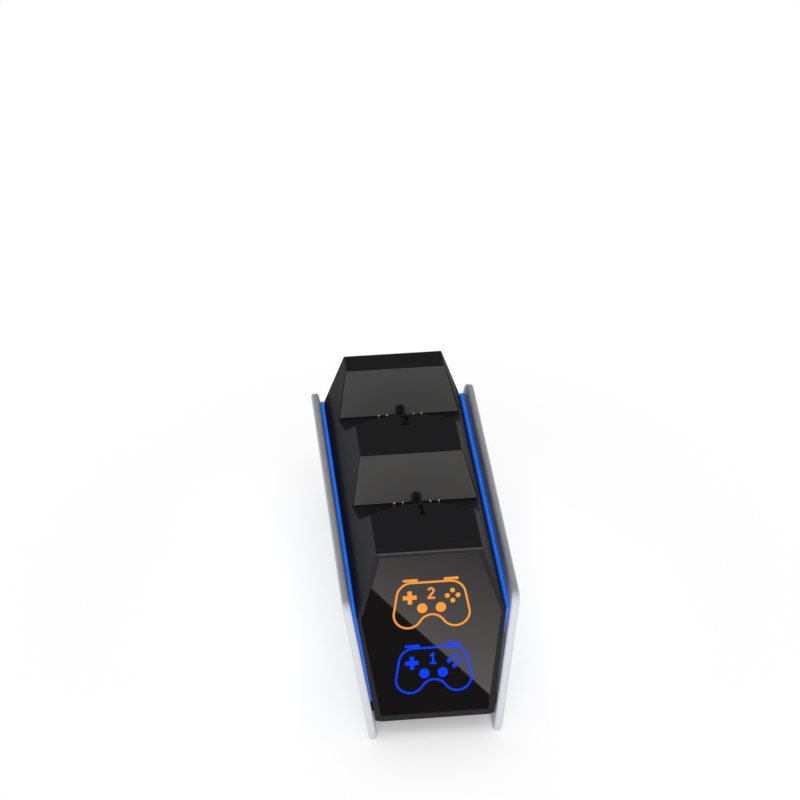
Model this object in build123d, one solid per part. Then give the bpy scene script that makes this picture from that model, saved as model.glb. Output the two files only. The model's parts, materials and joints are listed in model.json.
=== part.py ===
from build123d import *
import math
import os

# Overall form, in millimetres and degrees
overall_length = 127.0
deck_height = 55.0
belly_height = 5.5
waist_height = 36.2
waist_width = 43.2
deck_width = 30.6
side_lean = 9.2
front_lean = 17.5
rear_lean = 8.0

# Side plates
plate_height = 41.3
plate_thickness = 2.4
plate_edge_radius = 0.8
plate_foot_radius = 2.5
plate_corner_radius = 4.0
plate_overhang = 1.1
plate_tab_length = 6.0
plate_tab_thickness = 1.6
plate_tab_reach = 2.6
plate_tab_height = 20.0
plate_tab_spacing = 32.0
plate_tab_count = 3

# Anti-slip strips under the plates
foot_strip_length = 16.0
foot_strip_width = 1.4
foot_strip_thickness = 0.8
foot_strip_proud = 0.3
foot_strip_spacing = 92.0

# Housing walls
wall = 2.0
deck_edge_radius = 0.5
nose_bulge = 4.0
nose_inset = 0.8
seat_blend_radius = 8.0

# Docking bays
bay_count = 2
bay_pitch = 45.0
first_deck_length = 18.8
bay_run = 18.0
bay_depth = 10.4
bay_front_slope = 45.0
insertion_lean = 15.0
backrest_slope = 42.0

# Rest pads on the slopes behind the bays
pad_thickness = 1.2
pad_proud = 0.3
pad_side_overhang = 0.25
pad_end_inset = 0.4
pad_corner_radius = 0.6

# Contact inserts in the seats
peg_diameter = 3.0
peg_height = 4.7
peg_tip_chamfer = 0.4
contact_setback = 3.5
contact_pitch = 2.54
inner_contact_offset = 4.06
contact_reach = 2.2
contact_travel = 1.2
contact_tip_diameter = 0.75
contact_nose_chamfer = 0.2
contact_collar_diameter = 1.2
contact_collar_length = 1.1
barrel_diameter = 1.8
spring_room = 3.15
spring_diameter = 1.0
spring_wire = 0.16
spring_turns = 5
spring_corners = 6
barrel_lip = 0.4
barrel_floor = 0.3
barrel_recess = 0.15
block_width = 18.4
block_depth = 5.8
block_corner_radius = 1.4
block_flange = 0.9
contact_board_thickness = 1.2

# Front panel
bezel_depth = 2.6
bezel_border = 1.2
bezel_bottom_border = 1.9
bezel_edge_radius = 0.8
bezel_foot_radius = 0.3
window_thickness = 1.8
window_recess = 0.1
ledge_width = 1.2
mask_depth = 4.0
chamber_width = 24.0
chamber_height = 17.0
chamber_corner_radius = 2.0
upper_chamber_drop = 15.8
lower_chamber_drop = 36.1
indicator_board_thickness = 1.2
indicator_led_size = 2.0
indicator_led_height = 0.7
indicator_led_spacing = 7.0
indicator_led_count = 3

# Light guides and their lamp strips
guide_thickness = 1.0
guide_width = 5.0
guide_rise = 0.5
guide_setback = 0.3
guide_end_height = 11.7
strip_width = 4.0
strip_board_thickness = 0.3
strip_lamp_height = 0.5
strip_lamp_length = 2.0
strip_lamp_width = 2.0
strip_lamp_pitch = 12.0
strip_end_gap = 5.0

# Underside, circuit board and power inlet
cover_thickness = 2.0
boss_diameter = 6.0
boss_height = 14.0
boss_rib = 1.6
boss_end_margin = 14.0
boss_side_margin = 4.2
screw_diameter = 2.0
screw_head_diameter = 3.8
screw_head_height = 1.2
screw_length = 8.0
standoff_diameter = 4.4
standoff_height = 4.0
standoff_margin = 6.0
board_length = 66.0
board_width = 22.0
board_thickness = 1.6
board_corner_radius = 1.1
board_screw_length = 5.0
chip_length = 6.0
chip_width = 5.0
chip_height = 1.4
chip_spacing = 18.0
inlet_width = 8.9
inlet_height = 3.2
inlet_length = 7.4
inlet_sheet = 0.3
inlet_recess = 0.4
inlet_back_wall = 0.8
tongue_width = 6.6
tongue_height = 0.7
tongue_setback = 0.8

# Clearances between pieces
snug_gap = 0.05
fit_gap = 0.15
running_gap = 0.05
board_gap = 0.5

# Values worked out from the sizes above
reach = overall_length
deck_half = deck_width / 2
waist_half = waist_width / 2
side_run = math.tan(math.radians(side_lean))
front_run = math.tan(math.radians(front_lean))
rear_run = math.tan(math.radians(rear_lean))
front_cos = math.cos(math.radians(front_lean))
rear_cos = math.cos(math.radians(rear_lean))
side_cos = math.cos(math.radians(side_lean))
channel_depth = guide_thickness + 2 * snug_gap
plate_foot_half = waist_half - waist_height * side_run + channel_depth / side_cos
plate_front_run = side_cos * front_run
plate_rear_run = side_cos * rear_run


def foot_corner(edge_run):
    """Distance from the sharp foot corner of a plate to its rounded tip along Y."""
    half_angle = (math.pi / 2 - math.atan(edge_run)) / 2
    return plate_foot_radius * (1 / math.tan(half_angle) - 1)


plate_front = -overall_length / 2 - foot_corner(plate_front_run)
plate_rear = overall_length / 2 + foot_corner(plate_rear_run)
panel_foot = plate_front + plate_overhang
back_foot = plate_rear - plate_overhang
front_plane = Plane(
    origin=(0, panel_foot, 0),
    x_dir=(1, 0, 0),
    z_dir=(0, -front_cos, math.sin(math.radians(front_lean))),
)
rear_plane = Plane(
    origin=(0, back_foot, 0),
    x_dir=(-1, 0, 0),
    z_dir=(0, rear_cos, math.sin(math.radians(rear_lean))),
)
side_plane = Plane(
    origin=(plate_foot_half, 0, 0),
    x_dir=(0, 1, 0),
    z_dir=(side_cos, 0, -math.sin(math.radians(side_lean))),
)
first_bay = panel_foot + deck_height * front_run + first_deck_length
collar_room = running_gap + contact_collar_length + contact_travel
barrel_length = barrel_lip + collar_room + spring_room + barrel_floor
carrier_depth = barrel_recess + barrel_length


def ridge_points(stretch, inset, top_inset, low):
    """Corners of the six-sided ridge outline, with heights divided by stretch and edges moved in."""
    high = deck_height / stretch
    waist = waist_height / stretch
    roof_run = (waist_half - deck_half) / (high - waist)
    edge_run = side_run * stretch
    roof_shift = inset * math.hypot(1, roof_run)
    edge_shift = inset * math.hypot(1, edge_run)
    knee = waist + (edge_shift - roof_shift) / (edge_run + roof_run)
    top = high - top_inset
    top_half = deck_half + (high - top) * roof_run - roof_shift
    knee_half = waist_half - (waist - knee) * edge_run - edge_shift
    low_half = waist_half - (waist - low) * edge_run - edge_shift
    right = [(low_half, low), (knee_half, knee), (top_half, top)]
    left = [(-across, up) for across, up in reversed(right)]
    return right + left


def outline(points):
    return make_face(Polyline(*points, close=True))


def behind_front(solid, setback):
    return split(solid, bisect_by=front_plane.offset(-setback), keep=Keep.BOTTOM)


def before_front(solid, setback):
    return split(solid, bisect_by=front_plane.offset(-setback), keep=Keep.TOP)


def ahead_of_rear(solid, setback):
    return split(solid, bisect_by=rear_plane.offset(-setback), keep=Keep.BOTTOM)


def ridge_prism(section, front_setback, rear_setback):
    """A ridge section carried along Y and cut off by the leaning front and rear."""
    prism = extrude(Plane.XZ * section, amount=reach, both=True)
    return ahead_of_rear(behind_front(prism, front_setback), rear_setback)


def ridge_section(inset, low):
    return outline(ridge_points(1, inset, inset, low))


def panel_outline(inset, top_inset, bottom_inset):
    low = belly_height / front_cos + bottom_inset
    return outline(ridge_points(front_cos, inset, top_inset, low))


def panel_slab(sketch, depth, thickness):
    """A sheet parallel to the front panel, with its outer face at the given depth."""
    return extrude(front_plane.offset(-depth) * sketch, amount=-thickness)


def side_slab(points, depth, thickness):
    """A sheet parallel to the right plate, with its outer face the given depth inside the plate."""
    return extrude(side_plane.offset(-depth) * outline(points), amount=-thickness)


def side_band(low, high, depth, thickness):
    points = [(-reach, low), (reach, low), (reach, high), (-reach, high)]
    return side_slab(points, depth, thickness)


def post(radius, height):
    """An upright cylinder that stands on its origin."""
    return Cylinder(radius, height, align=(Align.CENTER, Align.CENTER, Align.MIN))


def both_sides(solid):
    return solid + mirror(solid, about=Plane.YZ)


def roof_half(height):
    return deck_half + (deck_height - height) * (waist_half - deck_half) / (deck_height - waist_height)


def bay_start(bay):
    return first_bay + bay * bay_pitch


def bay_profile(start):
    """Side view of a bay: sloped front wall, seat square to the insertion axis, sloped backrest."""
    front_tan = math.tan(math.radians(bay_front_slope))
    seat_tan = math.tan(math.radians(insertion_lean))
    corner = (bay_depth - bay_run * seat_tan) / (front_tan - seat_tan)
    above = deck_height + bay_depth
    above_run = (bay_depth + bay_depth) / math.tan(math.radians(backrest_slope))
    points = [
        (start, deck_height),
        (start + corner, deck_height - corner * front_tan),
        (start + bay_run, deck_height - bay_depth),
        (start + bay_run + above_run, above),
        (start, above),
    ]
    face = outline(points)
    knee = face.vertices().sort_by_distance((points[1][0], points[1][1]))[0]
    return fillet(knee, seat_blend_radius)


def bay_nose(start):
    """The rounded tongue in which the deck ends above the seat."""
    half = deck_half - nose_inset
    chord = Line((half, start), (-half, start))
    arc = ThreePointArc((-half, start), (0, start + nose_bulge), (half, start))
    plan = make_face([chord, arc])
    return extrude(Plane.XY.offset(deck_height - bay_depth) * plan, amount=bay_depth)


def bay_cutter(bay):
    start = bay_start(bay)
    return extrude(Plane.YZ * bay_profile(start), amount=waist_width, both=True) - bay_nose(start)


def bay_keepout(bay):
    """The bay with its walls added, which the hollow inside the housing stays out of."""
    grown = offset(bay_profile(bay_start(bay)), amount=wall, kind=Kind.INTERSECTION)
    return extrude(Plane.YZ * grown, amount=waist_width, both=True)


def seat_plane(bay):
    """Plane on the seat at the guide peg, looking out along the insertion axis."""
    lean = math.radians(insertion_lean)
    across = bay_start(bay) + bay_run - contact_setback
    up = deck_height - bay_depth + contact_setback * math.tan(lean)
    return Plane(origin=(0, across, up), x_dir=(1, 0, 0), z_dir=(0, math.sin(lean), math.cos(lean)))


def rest_plane(bay):
    """Plane on the backrest, with its origin at the foot and Y up the slope."""
    slope = math.radians(backrest_slope)
    foot = bay_start(bay) + bay_run
    return Plane(
        origin=(0, foot, deck_height - bay_depth),
        x_dir=(1, 0, 0),
        z_dir=(0, -math.sin(slope), math.cos(slope)),
    )


def contact_offsets():
    right = [inner_contact_offset, inner_contact_offset + contact_pitch]
    return [-offset_x for offset_x in reversed(right)] + right


def pad_outline(grow):
    """The trapezoid of a rest pad, a little wider than the ridge at each height."""
    slope_sine = math.sin(math.radians(backrest_slope))
    low = pad_end_inset - grow
    high = bay_depth / slope_sine - pad_end_inset + grow
    base = deck_height - bay_depth
    low_half = roof_half(base + low * slope_sine) + pad_side_overhang + grow
    high_half = roof_half(base + high * slope_sine) + pad_side_overhang + grow
    face = outline([(low_half, low), (high_half, high), (-high_half, high), (-low_half, low)])
    return fillet(face.vertices(), pad_corner_radius)


def block_outline(grow):
    return RectangleRounded(block_width + 2 * grow, block_depth + 2 * grow, block_corner_radius)


# Heights along the leaning plates
waist_up = waist_height / side_cos
guide_top = waist_up + guide_rise
guide_low = guide_top - guide_width
strip_top = guide_low - snug_gap
shelf = strip_top - strip_width - snug_gap
guide_end = guide_end_height / side_cos


def side_pads():
    """The thicker lower flank of the housing that a plate lies against, below and behind the light guide."""
    flank = side_band(0, shelf, 0, channel_depth + wall / 2)
    flank = ahead_of_rear(behind_front(flank, guide_width + snug_gap), 0)
    return both_sides(split(flank, bisect_by=Plane.XY.offset(belly_height), keep=Keep.TOP))


def plate_tabs(grow, length):
    """Flat tabs on the inner face of the right plate, which plug into slots in the housing."""
    tabs = Part()
    middle = (plate_tab_count - 1) / 2
    for index in range(plate_tab_count):
        along = (index - middle) * plate_tab_spacing
        tab = Rectangle(plate_tab_length + 2 * grow, plate_tab_thickness + 2 * grow)
        tabs += extrude(side_plane * Pos(along, plate_tab_height) * tab, amount=-length)
    return tabs


cover_top = belly_height + cover_thickness
boss_across = waist_half - (waist_height - cover_top) * side_run - wall - boss_side_margin


def boss_places():
    front = panel_foot + boss_height * front_run + boss_end_margin
    rear = back_foot - boss_height * rear_run - boss_end_margin
    return [(across, along) for across in (-boss_across, boss_across) for along in (front, rear)]


def bosses():
    """Screw posts that stand down onto the bottom cover, each with a rib to its side wall."""
    posts = Part()
    for across, along in boss_places():
        rib_side = Align.MIN if across > 0 else Align.MAX
        rib = Box(waist_half - boss_across, boss_rib, boss_height, align=(rib_side, Align.CENTER, Align.MIN))
        posts += Pos(across, along, cover_top) * (post(boss_diameter / 2, boss_height) + rib)
    return posts & ridge_prism(ridge_section(wall / 2, 0), 0, 0)


def pilot_holes():
    holes = Part()
    for across, along in boss_places():
        holes += Pos(across, along, cover_top) * post(screw_diameter / 2 + snug_gap, screw_length)
    return holes


# Circuit board and inlet places
board_bottom = cover_top + standoff_height
board_top = board_bottom + board_thickness
inlet_middle = board_top + inlet_height / 2
inlet_mouth = back_foot - inlet_middle * rear_run - inlet_recess
board_rear = back_foot - board_top * rear_run - wall - fit_gap
board_middle = board_rear - board_length / 2


def inlet_outline(grow):
    return SlotOverall(inlet_width + 2 * grow, inlet_height + 2 * grow)


def inlet_prism(grow, mouth, length):
    face = Plane(origin=(0, mouth, inlet_middle), x_dir=(-1, 0, 0), z_dir=(0, 1, 0))
    return extrude(face * inlet_outline(grow), amount=-length)


def make_housing():
    section = ridge_section(0, belly_height)
    section = fillet(section.vertices().group_by(Axis.Y)[-1], deck_edge_radius)
    shell = ridge_prism(section, bezel_depth, 0) + side_pads()
    hollow = ridge_prism(ridge_section(wall, 0), 0, wall)
    for bay in range(bay_count):
        hollow -= bay_keepout(bay)
    shell -= hollow
    shell += bosses()
    shell -= pilot_holes()
    for bay in range(bay_count):
        shell -= bay_cutter(bay)
        shell -= extrude(rest_plane(bay) * pad_outline(fit_gap), amount=-(pad_thickness - pad_proud))
        shell -= extrude(seat_plane(bay) * block_outline(fit_gap), amount=wall, both=True)
    shell -= both_sides(plate_tabs(fit_gap, channel_depth + 2 * wall))
    shell -= inlet_prism(fit_gap, back_foot, inlet_length)
    return shell


def make_bottom_cover():
    cover = ridge_prism(ridge_section(wall + fit_gap, 0), bezel_depth + fit_gap, wall + fit_gap)
    cover = split(cover, bisect_by=Plane.XY.offset(cover_top), keep=Keep.BOTTOM)
    cover = split(cover, bisect_by=Plane.XY.offset(belly_height), keep=Keep.TOP)
    for across, along in boss_places():
        hole = post(screw_diameter / 2 + fit_gap, cover_thickness)
        sink = post(screw_head_diameter / 2 + fit_gap, screw_head_height)
        cover -= Pos(across, along, belly_height) * (hole + sink)
    for across, along in standoff_places():
        pilot = post(screw_diameter / 2 + snug_gap, standoff_height)
        cover += Pos(across, along, cover_top) * (post(standoff_diameter / 2, standoff_height) - pilot)
    return cover


def standoff_places():
    along = board_length / 2 - standoff_margin
    across = board_width / 2 - standoff_diameter / 2
    return [(-across, board_middle - along), (across, board_middle - along), (0, board_middle + along / 2)]


def make_cover_screws():
    screw = post(screw_head_diameter / 2, screw_head_height) + post(screw_diameter / 2, screw_length)
    return Compound([Pos(across, along, belly_height) * screw for across, along in boss_places()])


def make_board_screws():
    screw = post(screw_head_diameter / 2, screw_head_height)
    screw += Pos(0, 0, -board_screw_length) * post(screw_diameter / 2, board_screw_length)
    return Compound([Pos(across, along, board_top) * screw for across, along in standoff_places()])


def make_main_board():
    board = Box(board_width, board_length, board_thickness, align=(Align.CENTER, Align.CENTER, Align.MIN))
    board = fillet(board.edges().filter_by(Axis.Z), board_corner_radius)
    board = Pos(0, board_middle, board_bottom) * board
    for across, along in standoff_places():
        board -= Pos(across, along, board_bottom) * post(screw_diameter / 2 + fit_gap, board_thickness)
    for across, along in boss_places():
        board -= Pos(across, along, board_bottom) * post(boss_diameter / 2 + board_gap, board_thickness)
    return board


def make_charge_chips():
    chip = Box(chip_width, chip_length, chip_height, align=(Align.CENTER, Align.CENTER, Align.MIN))
    places = [board_middle - chip_spacing, board_middle]
    return Compound([Pos(0, along, board_top) * chip for along in places])


def make_inlet_shell():
    shell = inlet_prism(0, inlet_mouth, inlet_length)
    return shell - inlet_prism(-inlet_sheet, inlet_mouth, inlet_length - inlet_back_wall)


def make_inlet_tongue():
    length = inlet_length - inlet_back_wall - tongue_setback
    tongue = Box(tongue_width, length, tongue_height, align=(Align.CENTER, Align.MAX, Align.CENTER))
    nose = tongue.faces().sort_by(Axis.Y)[-1]
    tongue = fillet(nose.edges().filter_by(Axis.Z), tongue_height / 2)
    return Pos(0, inlet_mouth - tongue_setback, inlet_middle) * tongue


def front_edges(solid):
    """Edges of the face in the front panel's plane, lowest first."""
    front = solid.faces().filter_by(lambda one: one.normal_at().dot(front_plane.z_dir) > 1 - 1e-6)[0]
    return front.edges().sort_by(Axis.Z)


def make_front_bezel():
    """Frame round the window, with its upper edges well rounded and its lower edge only broken."""
    frame = ridge_prism(ridge_section(0, belly_height), 0, 0)
    frame = before_front(frame, bezel_depth)
    frame = fillet(front_edges(frame)[1:], bezel_edge_radius)
    frame = fillet(front_edges(frame)[0], bezel_foot_radius)
    pocket = panel_outline(bezel_border, bezel_border, bezel_bottom_border)
    ledge = bezel_border + ledge_width
    opening = panel_outline(ledge, ledge, bezel_bottom_border + ledge_width)
    frame -= panel_slab(pocket, -wall, wall + window_recess + window_thickness)
    frame -= panel_slab(opening, -wall, 2 * wall + bezel_depth)
    return frame


def make_display_window():
    border = bezel_border + snug_gap
    sheet = panel_outline(border, border, bezel_bottom_border + snug_gap)
    return panel_slab(sheet, window_recess, window_thickness)


mask_front = window_recess + window_thickness
mask_back = mask_front + mask_depth
stack_back = mask_back + indicator_board_thickness


def mask_outline():
    """Outline of the light box and its board, inside the bezel's ledge and above the bottom cover."""
    ledge = bezel_border + ledge_width + fit_gap
    over_ledge = bezel_bottom_border + ledge_width + fit_gap
    sink = stack_back * math.sin(math.radians(front_lean))
    over_cover = (cover_top + fit_gap + sink - belly_height) / front_cos
    return panel_outline(ledge, ledge, max(over_ledge, over_cover))


def chamber_places():
    top = deck_height / front_cos
    return [(0, top - drop) for drop in (upper_chamber_drop, lower_chamber_drop)]


def make_indicator_mask():
    mask = panel_slab(mask_outline(), mask_front, mask_depth)
    for place in chamber_places():
        chamber = Pos(*place) * RectangleRounded(chamber_width, chamber_height, chamber_corner_radius)
        mask -= panel_slab(chamber, mask_front - wall, mask_depth + 2 * wall)
    return mask


def make_indicator_board():
    return panel_slab(mask_outline(), mask_back, indicator_board_thickness)


def make_indicator_leds():
    middle = (indicator_led_count - 1) / 2
    lamps = []
    for across, up in chamber_places():
        for index in range(indicator_led_count):
            shift = (index - middle) * indicator_led_spacing
            lamp = Pos(across + shift, up) * Rectangle(indicator_led_size, indicator_led_size)
            lamps.append(panel_slab(lamp, mask_back - indicator_led_height, indicator_led_height))
    return Compound(lamps)


def make_side_plate():
    """Right plate: a leaning sheet with a rounded rim, cut level where it stands."""
    top = plate_height / side_cos
    points = [
        (plate_front, 0),
        (plate_rear, 0),
        (plate_rear - top * plate_rear_run, top),
        (plate_front + top * plate_front_run, top),
    ]
    sheet = outline(points)
    feet = sheet.vertices().group_by(Axis.Y)[0]
    sheet = fillet(feet, plate_foot_radius)
    sheet = fillet(sheet.vertices().group_by(Axis.Y)[-1], plate_corner_radius)
    plate = extrude(side_plane * sheet, amount=plate_thickness)
    faces = plate.faces().filter_by(lambda one: abs(one.normal_at().dot(side_plane.z_dir)) > 1 - 1e-6)
    rim = [edge for face in faces for edge in face.edges()]
    plate = fillet(rim, plate_edge_radius)
    plate += plate_tabs(0, plate_tab_reach)
    plate = split(plate, bisect_by=Plane.XY.offset(foot_strip_proud), keep=Keep.TOP)
    for strip in right_foot_strips(snug_gap):
        plate -= strip
    return plate


def right_foot_strips(grow):
    """Strips set into the foot of the right plate, standing a little proud of it."""
    middle = plate_foot_half + plate_thickness / side_cos / 2
    strip = Box(
        foot_strip_width + 2 * grow,
        foot_strip_length + 2 * grow,
        foot_strip_thickness + grow,
        align=(Align.CENTER, Align.CENTER, Align.MIN),
    )
    return [Pos(middle, along * foot_strip_spacing / 2, 0) * strip for along in (-1, 1)]


def make_foot_strips():
    right = right_foot_strips(0)
    return Compound(right + [mirror(strip, about=Plane.YZ) for strip in right])


def make_light_guide():
    """Right guide: a strip along the plate that bends down beside the bezel."""
    top_leg = side_band(guide_low, guide_top, snug_gap, guide_thickness)
    top_leg = behind_front(top_leg, guide_setback)
    front_leg = side_band(guide_end, guide_top, snug_gap, guide_thickness)
    front_leg = before_front(behind_front(front_leg, guide_setback), guide_width)
    return ahead_of_rear(top_leg + front_leg, guide_setback)


def make_led_strip():
    """Right lamp strip: a thin board against the housing with lamps that face the plate."""
    depth = channel_depth - snug_gap - strip_board_thickness
    board = side_band(strip_top - strip_width, strip_top, depth, strip_board_thickness)
    front_setback = guide_width + strip_end_gap
    board = ahead_of_rear(behind_front(board, front_setback), strip_end_gap)
    lift = strip_top * side_cos
    front = panel_foot + lift * front_run + front_setback / front_cos
    rear = back_foot - lift * rear_run - strip_end_gap / rear_cos
    lamp_count = 1 + int((rear - front - 2 * strip_lamp_length) // strip_lamp_pitch)
    first = (front + rear - (lamp_count - 1) * strip_lamp_pitch) / 2
    low = strip_top - (strip_width + strip_lamp_width) / 2
    high = low + strip_lamp_width
    for index in range(lamp_count):
        near = first + index * strip_lamp_pitch - strip_lamp_length / 2
        far = near + strip_lamp_length
        points = [(near, low), (far, low), (far, high), (near, high)]
        board += side_slab(points, depth - strip_lamp_height, strip_lamp_height)
    return board


def make_rest_pad(bay):
    recess = pad_thickness - pad_proud
    return extrude(rest_plane(bay).offset(-recess) * pad_outline(0), amount=pad_thickness)


def make_contact_block(bay):
    """Insert that fills the seat's window from below, with the guide peg moulded on it."""
    seat = seat_plane(bay)
    body = extrude(seat * block_outline(0), amount=-carrier_depth)
    body += extrude(seat.offset(-wall) * block_outline(block_flange), amount=-(carrier_depth - wall))
    peg = post(peg_diameter / 2, peg_height)
    tip = peg.edges().sort_by(Axis.Z)[-1]
    body += seat.location * chamfer(tip, peg_tip_chamfer)
    for across in contact_offsets():
        hole = Pos(across, 0) * Circle(barrel_diameter / 2 + snug_gap)
        body -= extrude(seat * hole, amount=2 * carrier_depth, both=True)
    return body


def make_contact_board(bay):
    """Small board under the insert that the barrels stand on."""
    foot = seat_plane(bay).offset(-carrier_depth)
    return extrude(foot * block_outline(block_flange), amount=-contact_board_thickness)


def turned(points):
    """A turned piece from its half outline in radius and height."""
    return revolve(Plane.XZ * outline(points), axis=Axis.Z)


def make_contact_barrels(bay):
    top = -barrel_recess
    bottom = -carrier_depth
    outer = barrel_diameter / 2
    bore = contact_collar_diameter / 2 + running_gap
    mouth = contact_tip_diameter / 2 + running_gap
    points = [
        (0, bottom),
        (outer, bottom),
        (outer, top),
        (mouth, top),
        (mouth, top - barrel_lip),
        (bore, top - barrel_lip),
        (bore, bottom + barrel_floor),
        (0, bottom + barrel_floor),
    ]
    barrel = turned(points)
    seat = seat_plane(bay).location
    return Compound([seat * Pos(across, 0, 0) * barrel for across in contact_offsets()])


collar_top = -(barrel_recess + barrel_lip + running_gap)
collar_bottom = collar_top - contact_collar_length


def make_contact_springs(bay):
    """Coil springs between the barrel floors and the collars, wound as six-cornered turns of square wire."""
    low = -carrier_depth + barrel_floor + running_gap + spring_wire / 2
    rise = collar_bottom - running_gap - spring_wire / 2 - low
    radius = (spring_diameter - spring_wire) / 2
    steps = spring_turns * spring_corners
    points = []
    for step in range(steps + 1):
        angle = 2 * math.pi * step / spring_corners
        points.append((radius * math.cos(angle), radius * math.sin(angle), low + rise * step / steps))
    path = Polyline(*points)
    wire = Plane(origin=path @ 0, z_dir=path % 0) * Rectangle(spring_wire, spring_wire)
    spring = sweep(wire, path=path, transition=Transition.RIGHT)
    seat = seat_plane(bay).location
    return Compound([seat * Pos(across, 0, 0) * spring for across in contact_offsets()])


def make_contact(bay, across):
    """A contact tip: bevelled nose, straight stem, and a collar held under the barrel's lip."""
    stem = contact_tip_diameter / 2
    collar = contact_collar_diameter / 2
    points = [
        (0, collar_bottom),
        (collar, collar_bottom),
        (collar, collar_top),
        (stem, collar_top),
        (stem, contact_reach - contact_nose_chamfer),
        (stem - contact_nose_chamfer, contact_reach),
        (0, contact_reach),
    ]
    return seat_plane(bay).location * Pos(across, 0, 0) * turned(points)


def all_pieces():
    pieces = {
        "housing": make_housing(),
        "bottom_cover": make_bottom_cover(),
        "cover_screws": make_cover_screws(),
        "main_board": make_main_board(),
        "board_screws": make_board_screws(),
        "charge_chips": make_charge_chips(),
        "inlet_shell": make_inlet_shell(),
        "inlet_tongue": make_inlet_tongue(),
        "front_bezel": make_front_bezel(),
        "display_window": make_display_window(),
        "indicator_mask": make_indicator_mask(),
        "indicator_board": make_indicator_board(),
        "indicator_leds": make_indicator_leds(),
        "foot_strips": make_foot_strips(),
    }
    makers = {
        "side_plate": make_side_plate,
        "light_guide": make_light_guide,
        "led_strip": make_led_strip,
    }
    for name, maker in makers.items():
        right = maker()
        pieces[f"right_{name}"] = right
        pieces[f"left_{name}"] = mirror(right, about=Plane.YZ)
    for bay in range(bay_count):
        label = f"bay_{bay + 1}"
        pieces[f"{label}_rest_pad"] = make_rest_pad(bay)
        pieces[f"{label}_contact_block"] = make_contact_block(bay)
        pieces[f"{label}_contact_board"] = make_contact_board(bay)
        pieces[f"{label}_contact_barrels"] = make_contact_barrels(bay)
        pieces[f"{label}_contact_springs"] = make_contact_springs(bay)
        for number, across in enumerate(contact_offsets(), 1):
            pieces[f"{label}_contact_{number}"] = make_contact(bay, across)
    return pieces


os.makedirs("parts", exist_ok=True)
for node, piece in all_pieces().items():
    export_step(piece, f"parts/{node}.step")
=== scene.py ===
# %% [markdown]
# # A charging dock, dressed for the camera
# The dock is a black moulded ridge held between two white plates. Gamepads stand in two bays on top, where
# a peg guides them onto gold spring contacts. A smoked window at the front shows which bay is charging.
# The construction comes as a fixed frame of solids, in metres. Nothing in it is moved: each solid gets a
# finish here, and the small things that a solid doesn't carry, such as lit signs and numbers, are added.

# %% Load the frame
import bmesh
import bpy
import json
import math
from mathutils import Matrix, Vector


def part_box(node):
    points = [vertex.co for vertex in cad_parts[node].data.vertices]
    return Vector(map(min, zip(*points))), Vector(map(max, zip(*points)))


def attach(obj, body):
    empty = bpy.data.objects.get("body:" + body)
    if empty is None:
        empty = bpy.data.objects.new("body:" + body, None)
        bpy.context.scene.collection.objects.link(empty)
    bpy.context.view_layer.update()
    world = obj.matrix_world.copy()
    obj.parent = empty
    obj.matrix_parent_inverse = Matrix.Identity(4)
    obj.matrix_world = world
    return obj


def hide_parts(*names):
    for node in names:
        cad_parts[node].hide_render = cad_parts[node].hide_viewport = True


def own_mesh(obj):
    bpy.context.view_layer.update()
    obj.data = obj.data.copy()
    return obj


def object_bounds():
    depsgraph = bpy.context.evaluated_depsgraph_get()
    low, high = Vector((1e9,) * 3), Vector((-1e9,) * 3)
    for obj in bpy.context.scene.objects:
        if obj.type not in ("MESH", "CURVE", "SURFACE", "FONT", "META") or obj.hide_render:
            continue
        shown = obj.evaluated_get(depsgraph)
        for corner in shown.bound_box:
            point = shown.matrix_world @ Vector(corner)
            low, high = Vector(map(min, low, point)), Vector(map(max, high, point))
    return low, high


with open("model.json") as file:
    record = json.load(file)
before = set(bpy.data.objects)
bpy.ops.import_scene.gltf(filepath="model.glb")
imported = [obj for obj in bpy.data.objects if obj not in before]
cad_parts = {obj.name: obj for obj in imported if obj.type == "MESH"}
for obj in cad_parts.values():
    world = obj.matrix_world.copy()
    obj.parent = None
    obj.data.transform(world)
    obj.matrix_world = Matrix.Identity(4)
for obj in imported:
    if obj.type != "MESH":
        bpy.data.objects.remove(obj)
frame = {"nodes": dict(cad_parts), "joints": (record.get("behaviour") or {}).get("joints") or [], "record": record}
cad_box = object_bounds()
nodes = frame["nodes"]
MM = 0.001
print("solids in the frame:", len(nodes))

# %% [markdown]
# ## The viewing angle
# The picture was taken from a little left of the middle and from above, with a long lens, so that the sides
# of the dock hardly converge. The camera is placed by its position and the two angles it is turned by.

# %% Camera
camera_place = Vector((-0.0811, -0.7178, 0.5819))
camera_turn = 6.162
camera_drop = 35.023
camera_lens = 135.0
camera_sensor = 36.0

camera_data = bpy.data.cameras.new("camera")
camera_data.lens = camera_lens
camera_data.sensor_width = camera_sensor
camera = bpy.data.objects.new("camera", camera_data)
camera.location = camera_place
camera.rotation_euler = (math.radians(90 - camera_drop), 0, math.radians(-camera_turn))
bpy.context.scene.collection.objects.link(camera)
bpy.context.scene.camera = camera
print("camera distance:", round(camera_place.length, 3))

# %% [markdown]
# ## Writing shaders as arithmetic
# A finish is a recipe: take some noise, shrink it, add it to a roughness. Written as nodes that recipe fills
# a page, so a small class wraps a socket and lets Python's operators add the Math nodes.


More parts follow.
